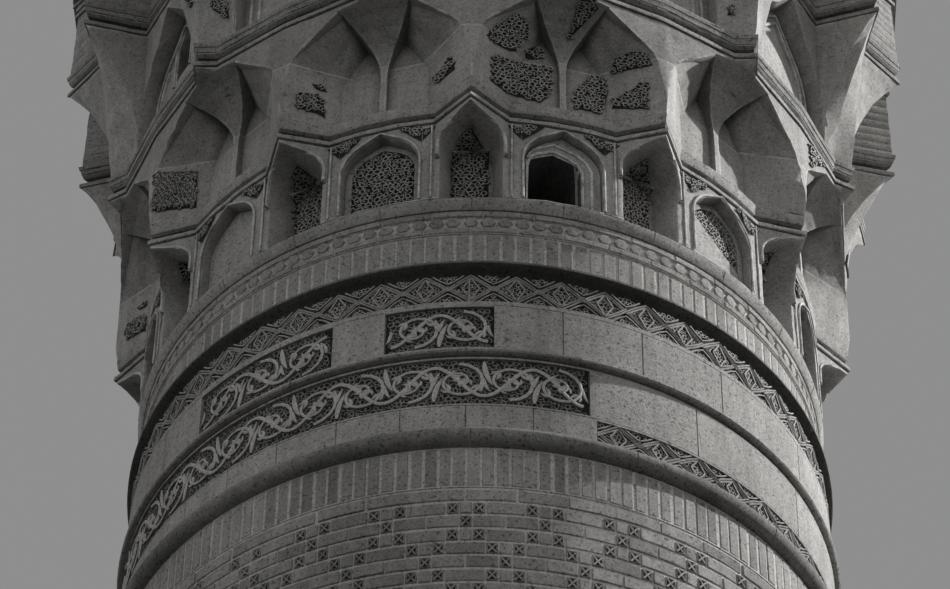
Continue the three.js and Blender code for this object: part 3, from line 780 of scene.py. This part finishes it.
def bead_row():
    """Raised hexagonal tiles in light mortar, between two bands of flat bricks."""
    low, high = Z_BEAD + 0.052, Z_SILL - 0.050
    front, back = UPPER_R + 0.005, UPPER_R - 0.004
    wall = [(front, Z_BEAD + STEP), (front, low - 0.002), (back, low), (back, high), (front, high + 0.002),
            (front, Z_SILL - STEP)]
    ring("bead_wall", wall, MORTAR, "stone", "bead_band")
    tiles, bricks = Builder(), Builder()
    rows = ((Z_BEAD + 0.006, low - 0.005, 48, 0.0), (high + 0.004, Z_SILL - 0.004, 44, 2.0))
    for z0, z1, count, turn in rows:
        pitch = 360 / count
        for i in range(count):
            a0, a1 = turn + i * pitch + 0.12, turn + (i + 1) * pitch - 0.12
            brick(bricks, a0, a1, z0, z1, UPPER_R + 0.014, lift=random.uniform(-0.002, 0.0))
    hexagon = ((-1, 0), (-0.5, -1), (0.5, -1), (1, 0), (0.5, 1), (-0.5, 1))
    count = 131
    wave = math.tau * SHAFT_R / count
    middle = (low + high) / 2
    place = on_ring(back)
    for k in range(count):
        u = wave * (k + random.uniform(-0.03, 0.03))
        wide, tall = wave * random.uniform(0.40, 0.45), (high - low) * random.uniform(0.44, 0.49)
        edge = [(wide * x, tall * y) for x, y in hexagon]
        points = [place(u + du * share, middle + dv * share, rise)
                  for share, rise in ((1, 0.0), (0.94, 0.013)) for du, dv in edge]
        points.append(place(u, middle, 0.017))
        faces = [(i, (i + 1) % 6, 6 + (i + 1) % 6, 6 + i) for i in range(6)]
        faces += [(6 + i, 6 + (i + 1) % 6, 12) for i in range(6)]
        tiles.add(points, faces)
    tiles.piece("bead_tiles", BRICK, "brick")
    bricks.piece("bead_bricks", BRICK, "brick")


bead_row()


# The tiers keep the part's own solids, joined, with masonry joints cut and their surfaces worn.
def joined(names):
    """The named nodes as one mesh, with the faces and gaps of their parting planes closed."""
    mesh = bmesh.new()
    for name in names:
        mesh.from_mesh(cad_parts[name].data)
    if len(names) > 1:
        near = 0.0004
        cut = [f for f in mesh.faces for axis in (0, 1) if all(abs(v.co[axis]) < near for v in f.verts)]
        bmesh.ops.delete(mesh, geom=cut, context="FACES")
        for vert in mesh.verts:
            for axis in (0, 1):
                if abs(vert.co[axis]) < near:
                    vert.co[axis] = 0.0
    bmesh.ops.remove_doubles(mesh, verts=mesh.verts, dist=0.0005)
    return mesh


def outside(vert):
    return vert.co.xy.length > WELL_R + 0.05


def shift(moves):
    for vert, move in moves:
        vert.co += move


def slice_level(mesh, z):
    bmesh.ops.bisect_plane(mesh, geom=mesh.verts[:] + mesh.edges[:] + mesh.faces[:], dist=1e-5,
                           plane_co=(0, 0, z), plane_no=(0, 0, 1))


def cut_joints(mesh, heights):
    """V grooves along the bed joints at the heights."""
    half, depth = 0.003, 0.002
    for height in heights:
        for z in (height - half, height, height + half):
            slice_level(mesh, z)
    mesh.normal_update()
    for vert in mesh.verts:
        if outside(vert) and min(abs(vert.co.z - h) for h in heights) < 5e-5:
            vert.co -= vert.normal * depth


def ease_steps(mesh, steps):
    """Sets back the lower edge of steps, each given as its height, the height where that ends and how far."""
    for height, end, inset in steps:
        slice_level(mesh, end)
        mesh.normal_update()
        moves = []
        for vert in mesh.verts:
            if abs(vert.co.z - height) < 0.0005 and outside(vert):
                rising = max(e.other_vert(vert).co.z for e in vert.link_edges)
                out = Vector((vert.normal.x, vert.normal.y, 0))
                if rising > height + 0.004 and out.length > 0.1:
                    moves.append((vert, out.normalized() * -inset))
        shift(moves)


def wear(mesh, longest, depth):
    """Splits long edges outside the well and sinks the surface unevenly; keeps hard edges hard."""
    hard = math.radians(26)
    for edge in mesh.edges:
        edge.smooth = not (len(edge.link_faces) == 2 and edge.calc_face_angle(0) > hard)
    for _ in range(4):
        long = [e for e in mesh.edges if e.calc_length() > longest and any(outside(v) for v in e.verts)]
        if not long:
            break
        bmesh.ops.subdivide_edges(mesh, edges=long, cuts=1, use_grid_fill=False)
        bmesh.ops.triangulate(mesh, faces=[f for f in mesh.faces if len(f.verts) > 3])
    mesh.normal_update()
    moves = []
    for vert in mesh.verts:
        if outside(vert):
            rough = noise_3d.fractal(vert.co * 9.0, 0.9, 2.0, 3) * 0.5 + 0.5
            worn = depth * (1.0 if all(e.smooth for e in vert.link_edges) else 1.8)
            moves.append((vert, vert.normal * -worn * max(0.0, min(1.0, rough))))
    shift(moves)


def tier(name, material, slot, names, joints=(), longest=0.07, depth=0.005, sunk=None, sunk_shade=None,
         steps=()):
    """Worn masonry in place of the named nodes; returns its surface for what is carved on it. sunk tests
    whether a face, given its corners, gets the painted shade sunk_shade."""
    mesh = joined(names)
    ease_steps(mesh, steps)
    for face in mesh.faces:
        # faces inside the well get the painted shade of the well (material 2)
        face.material_index = 0 if any(outside(v) for v in face.verts) else 2
        if sunk and face.material_index == 0 and sunk([v.co for v in face.verts]):
            face.material_index = 1
    if joints:
        cut_joints(mesh, joints)
    wear(mesh, longest, depth)
    bmesh.ops.triangulate(mesh, faces=[f for f in mesh.faces if len(f.verts) > 3])
    surface = BVHTree.FromBMesh(mesh)
    data = bpy.data.meshes.new(name)
    mesh.to_mesh(data)
    mesh.free()
    if "custom_normal" in data.attributes:
        data.attributes.remove(data.attributes["custom_normal"])
    for finish in (material, sunk_shade or material, SHADED_WELL_WALL):
        data.materials.append(finish)
    mount(data, names)
    return surface


def quarters(name):
    return [f"{name}_{k}" for k in (1, 2, 3, 4)]


def courses(low, high):
    """Heights of the bed joints of the brick courses between two levels."""
    margin = 0.012
    first, last = math.ceil((low + margin) / COURSE), math.floor((high - margin) / COURSE)
    return [k * COURSE for k in range(first, last + 1)]


def cornice(name, foot, names, material, low, high, steps, **sizes):
    """Worn moulding with painted shade in its groove between low and high; all heights count from its foot.
    """
    def in_groove(corners):
        return all(foot + low - 0.001 < c.z < foot + high + 0.001 and c.xy.length > WELL_R + 0.3
                   for c in corners)

    tier(name, material, "stone", names, sunk=in_groove, sunk_shade=SHADED,
         steps=[(foot + edge, foot + end, inset) for edge, end, inset in steps], **sizes)


def to_window(corners):
    """Corners turned so that the window's bay faces -Y."""
    return [Matrix.Rotation(-math.radians(BAY / 2), 3, "Z") @ c for c in corners]


def in_window(corners):
    """Test for the sides of the window's opening behind its frame."""
    return all(-0.23 < c.x < 0.13 and -1.90 < c.y < -WELL_R + 0.2 and c.z < 5.07 for c in to_window(corners))


def through_frame(corners):
    """Test for the sides of the opening in the window's frame."""
    turned = to_window(corners)
    inside = all(-0.21 < c.x < 0.11 and c.z < 5.065 for c in turned)
    return inside and max(c.y for c in turned) - min(c.y for c in turned) > 0.02


# a chamfer over the groove, and on the upper cornices two courses that hardly stand out
LOW_STEPS = [(0.071, 0.092, 0.014)]
HIGH_STEPS = [(0.084, 0.112, 0.016), (0.122, 0.152, 0.008), (0.160, 0.190, 0.007)]

# the sides of the window opening get painted shade
tier1 = tier("tier1", TIER_STONE, "stone", quarters("tier1_body"), sunk=in_window, sunk_shade=SOOT_AND_SHADE)
cornice("cornice1", Z_CORNICE1, ["cornice_1"], STONE, 0.034, 0.092, LOW_STEPS)
tier2 = tier("tier2", CELL_STONE, "stone", quarters("tier2_body"))
cornice("cornice2", Z_CORNICE2, ["cornice_2"], TIER_BRICK, 0.038, 0.112, HIGH_STEPS)
tier3 = tier("tier3", TIER_STONE, "brick", quarters("tier3_body"))
cornice("cornice3", Z_CORNICE3, quarters("cornice_3"), TIER_BRICK, 0.038, 0.112, HIGH_STEPS, longest=0.11)
tier("tier4", TIER_BRICK, "brick", quarters("tier4_body"), courses(Z_TIER4, Z_TIER4 + 0.6), longest=0.22)
tier("gallery_slab", FLOOR_STONE, "pale_stone", ["gallery_floor"], longest=0.2, depth=0.0)
# the sides of the opening in the window's frame get painted shade
window = tier("window_surround", TIER_STONE, "pale_stone", ["window_frame"], longest=0.06, depth=0.003,
              sunk=through_frame, sunk_shade=SOOT_AND_SHADE)


def facing(surface, azimuth):
    """Place on a surface: (u, v) of a bay carried straight in towards the axis, no farther than the well."""
    start = 3.0
    inward = -in_bay(azimuth, 0, 1, 0)

    def place(u, v, h):
        hit, normal, _, _ = surface.ray_cast(in_bay(azimuth, u, start, v), inward, start - WELL_R)
        return hit + normal * h if hit else in_bay(azimuth, u, WELL_R + 0.6, v)
    return place


def sighted(surface, azimuth, r, seen_from):
    """Place on a surface: (u, v) of the bay's upright plane at r, carried along the line of sight. The eye
    stands as far round from this bay as the photo's does from the bay seen_from."""
    eye = polar(azimuth + EYE_AZIMUTH - seen_from, EYE_OUT, EYE_Z)

    def place(u, v, h):
        towards = (in_bay(azimuth, u, r, v) - eye).normalized()
        hit, normal, _, _ = surface.ray_cast(eye, towards)
        return hit + normal * h if hit else in_bay(azimuth, u, r, v)
    return place


def on_drum1(azimuth):
    """Place on the round stretch of the first tier in the bay."""
    return lambda u, v, h: polar(azimuth + math.degrees(math.asin(u / DRUM1_R)), DRUM1_R + h, v)


class SunkLace:
    """Lace over sunk ground painted near black as shade, with painted shade on the strands' sides, gathered
    from many places into two pieces.
    """

    def __init__(self):
        self.strands, self.grounds = Builder(), Builder()

    def fill(self, place, outline, lift=0.001, **sizes):
        ground_of(self.grounds, place, outline, lift)
        lace(self.strands, place, outline, foot=0.001, **sizes)

    def pieces(self, name, slot="stone", *nodes):
        self.strands.piece(name + "_lace", STRAND, slot, *nodes, side=SHADED_CARVED_SIDE)
        self.grounds.piece(name + "_grounds", SHADED_GROUND, slot)


# Lace of the first tier: its niches, the corners above its arches, and their ribs.
NICHE_R = 1.83
NICHE_LACE = [(-0.115, 4.630), (0.092, 4.630), (0.092, 5.168), (-0.115, 5.168)]
NICHE_HEAD = [(-0.094, 5.193), (0.064, 5.205), (0.030, 5.292), (-0.018, 5.400), (-0.087, 5.295)]
SPANDREL = [(0.242, 5.095), (0.242, 5.222), (0.112, 5.226)]
NOSE_SPANDREL = [(0.275, 5.105), (0.275, 5.208), (0.200, 5.216)]


def mirrored(outline):
    return [(-u, v) for u, v in reversed(outline)]


def carve_tier1():
    carving, ribs = SunkLace(), Builder()
    for i in range(BAYS):
        azimuth = BAY * i
        place = sighted(tier1, azimuth, NICHE_R, 0.0)
        carving.fill(place, NICHE_LACE)
        carving.fill(place, NICHE_HEAD)
        ribbon(ribs, place, [(-0.115, 5.181), (0.0, 5.181), (0.095, 5.181)], 0.010, 0.012)
        nose = facing(tier1, azimuth)
        arch = four_centred(0.192, 4.95, 5.052, 5.2225, 0.7)[1:9]
        for side in (arch, mirrored(arch)):
            ribbon(ribs, nose, side, 0.006, 0.008)
        for outline in (NOSE_SPANDREL, mirrored(NOSE_SPANDREL)):
            carving.fill(nose, outline, pitch=0.024, half=0.0032, height=0.009)
        drum = on_drum1(azimuth + BAY / 2)
        for outline in (SPANDREL, mirrored(SPANDREL)):
            carving.fill(drum, outline, pitch=0.026, half=0.0034, height=0.009)
        rim = four_centred(PANEL_HALF + 0.012, PANEL_FOOT, PANEL_SPRING, PANEL_APEX + 0.010)
        ribbon(ribs, drum, rim[1:] + rim[:1], 0.007, 0.009)
        for u in (-0.298, 0.298):
            ribbon(ribs, drum, [(u, PANEL_FOOT), (u, 4.9), (u, 5.225)], 0.006, 0.007)
    carving.pieces("niche")
    ribs.piece("tier1_ribs", TIER_STONE, "stone")


carve_tier1()

# Remains of lace in the second tier's cells, as (u, v) outlines on the plane CELL_R of the bay read.
CELL_R = 1.948
CELLS_A = [
    [(-0.416, 5.608), (-0.312, 5.520), (-0.121, 5.497), (-0.060, 5.592), (-0.050, 5.830), (-0.243, 5.823),
     (-0.396, 5.853)],
    [(-0.445, 6.012), (-0.374, 5.939), (-0.278, 5.900), (-0.195, 6.072), (-0.195, 6.209), (-0.252, 6.273),
     (-0.384, 6.125)],
    [(-0.199, 5.860), (-0.103, 5.897), (-0.111, 6.030), (-0.217, 5.945)],
    [(0.069, 5.505), (0.225, 5.504), (0.276, 5.688), (0.274, 5.820), (0.160, 5.814), (0.075, 5.631)],
    [(0.296, 5.563), (0.520, 5.627), (0.526, 5.866), (0.496, 5.857), (0.297, 5.629)],
    [(0.297, 5.880), (0.553, 6.028), (0.511, 6.130), (0.439, 6.130), (0.317, 6.020)],
    [(0.044, 6.130), (0.066, 6.149), (0.231, 6.460), (0.214, 6.537), (0.115, 6.508)],
]
CELLS_B = [
    [(-0.551, 5.816), (-0.537, 5.692), (-0.398, 5.581), (-0.356, 5.528), (-0.358, 5.699), (-0.470, 5.802)],
    [(-0.455, 5.878), (-0.426, 5.815), (-0.356, 5.764), (-0.382, 5.840)],
    [(0.399, 5.850), (0.291, 5.694), (0.293, 5.602), (0.418, 5.718)],
]
CELLS_C = [[(-0.835, 6.233), (-0.800, 5.851), (-0.374, 5.544), (-0.399, 5.889)]]
CELLS_D = [[(0.881, 6.247), (1.010, 6.340), (0.926, 6.470), (0.868, 6.435)]]


def carve_tier2():
    """The bays in sight keep what the photo shows; the rest alternate between the two fullest patterns."""
    carving = SunkLace()
    shown = {345: (CELLS_B, -15.0), 15: (CELLS_A, 15.0), 315: (CELLS_C, -45.0), 45: (CELLS_D, 45.0),
             75: ([], 75.0), 105: ([], 105.0)}
    hidden = ((CELLS_A, 15.0), (CELLS_B, -15.0))
    for i in range(BAYS):
        azimuth = round(BAY * (i + 0.5))
        outlines, seen_from = shown.get(azimuth, hidden[i % 2])
        for outline in outlines:
            carving.fill(sighted(tier2, azimuth, CELL_R, seen_from), outline)
    carving.pieces("cell")


carve_tier2()

# Third tier: blind arches inside its niches, a rim round the slit and scraps of lace on the piers' flanks.
NICHE3_R = 2.101
SLIT_BAY = 300
BARE_PIERS = (270, 300, 330, 0, 30, 60, 90)     # bays in sight, bare but for the scraps read there
PIER_LACE = [
    [(-0.659, 7.018), (-0.633, 6.905), (-0.504, 6.735), (-0.513, 6.924)],
    [(-0.861, 7.150), (-0.812, 7.033), (-0.767, 7.088)],
    [(0.519, 6.803), (0.518, 6.701), (0.575, 6.736), (0.580, 6.840)],
]


def carve_tier3():
    carving, ribs = SunkLace(), Builder()
    for i in range(BAYS):
        azimuth = BAY * i
        niche = facing(tier3, azimuth)
        arches = [(four_centred(0.379 - inset, 6.45, 6.80, apex, 1.3), 0.014, 0.020)
                  for inset, apex in ((0.045, 7.315), (0.105, 7.245))]
        if azimuth == SLIT_BAY:
            arches.append((four_centred(0.112, 6.832, 7.13, 7.345), 0.010, 0.012))
        for arch, half, height in arches:
            ribbon(ribs, niche, arch[1:] + arch[:1], half, height)
        for outline in PIER_LACE:
            read_in = -30.0 if outline[0][0] < 0 else 30.0
            if azimuth not in BARE_PIERS or azimuth == read_in % 360:
                carving.fill(sighted(tier3, azimuth, NICHE3_R, read_in), outline)
    carving.pieces("pier")
    ribs.piece("tier3_ribs", TIER_STONE, "brick")


carve_tier3()


# The panels' plates: a plain arched border round sunk lace. One was made good plain, one half filled in.
PLAIN_PANEL = 315
HALF_PANEL = 45
SCREEN_LACE = four_centred(0.184, PANEL_FOOT + 0.02, 4.955, 5.162)
INFILL = [(-0.183, PANEL_FOOT + 0.021), (0.183, PANEL_FOOT + 0.021), (0.183, 4.770), (-0.155, 5.015),
          (-0.183, 4.960)]


def arch_plate(builder, azimuth, outer, inner, front, sunk):
    """Flat plate between two outlines of as many corners, with the sides of its sinking and its rim."""
    n = len(outer)
    rings = [(outer, PANEL_BACK + STEP), (outer, front - 0.004), (outer, front), (inner, front),
             (inner, sunk)]
    points = [in_bay(azimuth, u, r, v) for line, r in rings for u, v in line]
    faces = [(k + i, k + (i + 1) % n, k + n + (i + 1) % n, k + n + i)
             for k in range(0, n * (len(rings) - 1), n) for i in range(n)]
    faces.append(tuple(range(n - 1, -1, -1)))
    builder.add(points, faces)


def lay_screens():
    carving, plates = SunkLace(), Builder()
    rim = 0.002
    outer = four_centred(PANEL_HALF - rim, PANEL_FOOT + rim, PANEL_SPRING, PANEL_APEX - rim)
    front, sunk = PANEL_BACK + SCREEN_THICK - 0.001, PANEL_BACK + 0.022
    azimuths = [round(BAY * (i + 0.5)) for i in range(1, BAYS)]
    for azimuth in azimuths:
        if azimuth == PLAIN_PANEL:
            middle = [(0.0, (PANEL_FOOT + PANEL_APEX) / 2)] * len(outer)
            arch_plate(plates, azimuth, outer, middle, front, front)
            continue
        arch_plate(plates, azimuth, outer, SCREEN_LACE, front, sunk)
        carving.fill(lambda u, v, h: in_bay(azimuth, u, sunk + h, v), SCREEN_LACE, lift=0.0, height=0.018)
        if azimuth == HALF_PANEL:
            n = len(INFILL)
            points = [in_bay(azimuth, u, r, v) for r in (sunk, front - 0.002) for u, v in INFILL]
            flanks = [(i, (i + 1) % n, n + (i + 1) % n, n + i) for i in range(n)]
            plates.add(points, [*flanks, tuple(range(n, 2 * n))])
    carving.pieces("screen", "pale_stone", *[f"screen_{azimuth:03d}" for azimuth in azimuths])
    plates.piece("screen_plates", STONE, "pale_stone", crease=30)


lay_screens()


def frame_window():
    """Two mouldings round the open window, the inner one on its frame and the outer on the drum."""
    ribs = Builder()
    inner = [(-0.212, 4.64), (-0.212, 4.94), (-0.190, 5.002), (-0.145, 5.040), (-0.055, 5.080),
             (0.030, 5.046), (0.078, 5.010), (0.112, 4.94), (0.112, 4.64)]
    outer = [(0.168, 4.64), (0.168, 4.96), (0.138, 5.035), (0.085, 5.085), (-0.050, 5.140), (-0.150, 5.085),
             (-0.196, 5.030), (-0.206, 4.99)]
    for line, size in ((inner, 0.012), (outer, 0.010)):
        ribbon(ribs, facing(window, BAY / 2), line, size, size)
    ribs.piece("window_ribs", TIER_STONE, "pale_stone")


frame_window()


# Stage, light and camera.
def stage():
    size = 40
    mesh = bpy.data.meshes.new("floor")
    mesh.from_pydata([(*corner, 0) for corner in box_outline(-size, -size, size, size)], [], [(0, 1, 2, 3)])
    material = bpy.data.materials.new("floor_pale")
    material.use_nodes = True
    tree = material.node_tree
    shader = tree.nodes["Principled BSDF"]
    shader.inputs["Base Color"].default_value = (0.62, 0.62, 0.61, 1)
    shader.inputs["Roughness"].default_value = 0.95
    # the photo's camera stands lower than the cut foot of the shaft, so the floor is clear from below
    clear = add(tree, "BsdfTransparent").outputs["BSDF"]
    blend = add(tree, "MixShader", Fac=add(tree, "NewGeometry").outputs["Backfacing"])
    tree.links.new(shader.outputs["BSDF"], blend.inputs[1])
    tree.links.new(clear, blend.inputs[2])
    tree.links.new(blend.outputs["Shader"], tree.nodes["Material Output"].inputs["Surface"])
    mesh.materials.append(material)
    floor = linked(mesh)
    floor.visible_diffuse = False


def fade(tree, value, start, end, low, high):
    """Smooth change of a value from low at start to high at end."""
    made = add(tree, "MapRange", Value=value, From_Min=start, From_Max=end, To_Min=low, To_Max=high)
    made.interpolation_type = "SMOOTHSTEP"
    return made.outputs["Result"]


def light():
    world = bpy.data.worlds.new("studio")
    bpy.context.scene.world = world
    world.use_nodes = True
    tree = world.node_tree
    place = add(tree, "TexCoord").outputs["Generated"]
    rise = add(tree, "SeparateXYZ", Vector=place).outputs["Z"]
    sky, ground = fade(tree, rise, 0.35, 0.62, 0.44, 0.272), fade(tree, rise, -0.35, 0.05, 0.10, 1.0)
    tree.links.new(work_out(tree, "MULTIPLY", sky, ground), tree.nodes["Background"].inputs["Color"])
    lamp = bpy.data.lights.new("key", "SUN")
    lamp.energy = 4.3
    lamp.angle = math.radians(1.5)
    key = linked(lamp)
    elevation = math.radians(30)
    key.rotation_mode = "QUATERNION"
    key.rotation_quaternion = polar(103, math.cos(elevation), math.sin(elevation)).to_track_quat("Z", "Y")


def camera():
    """The photo's view, from far below and 2 degrees to the right of the front."""
    yaw, pitch, roll = math.radians(-0.164), math.radians(47.01), math.radians(0.808)
    data = bpy.data.cameras.new("camera")
    data.lens, data.sensor_width = 143.63, 36.0
    data.clip_start, data.clip_end = 0.5, 200
    made = linked(data)
    turn = Matrix.Rotation(math.radians(EYE_AZIMUTH) - yaw, 4, "Z")
    lean = Matrix.Rotation(math.pi / 2 + pitch, 4, "X") @ Matrix.Rotation(roll, 4, "Z")
    made.matrix_world = Matrix.Translation(polar(EYE_AZIMUTH, EYE_OUT, EYE_Z)) @ turn @ lean
    bpy.context.scene.camera = made


stage()
light()
camera()
bpy.context.scene.view_settings.view_transform = "Standard"
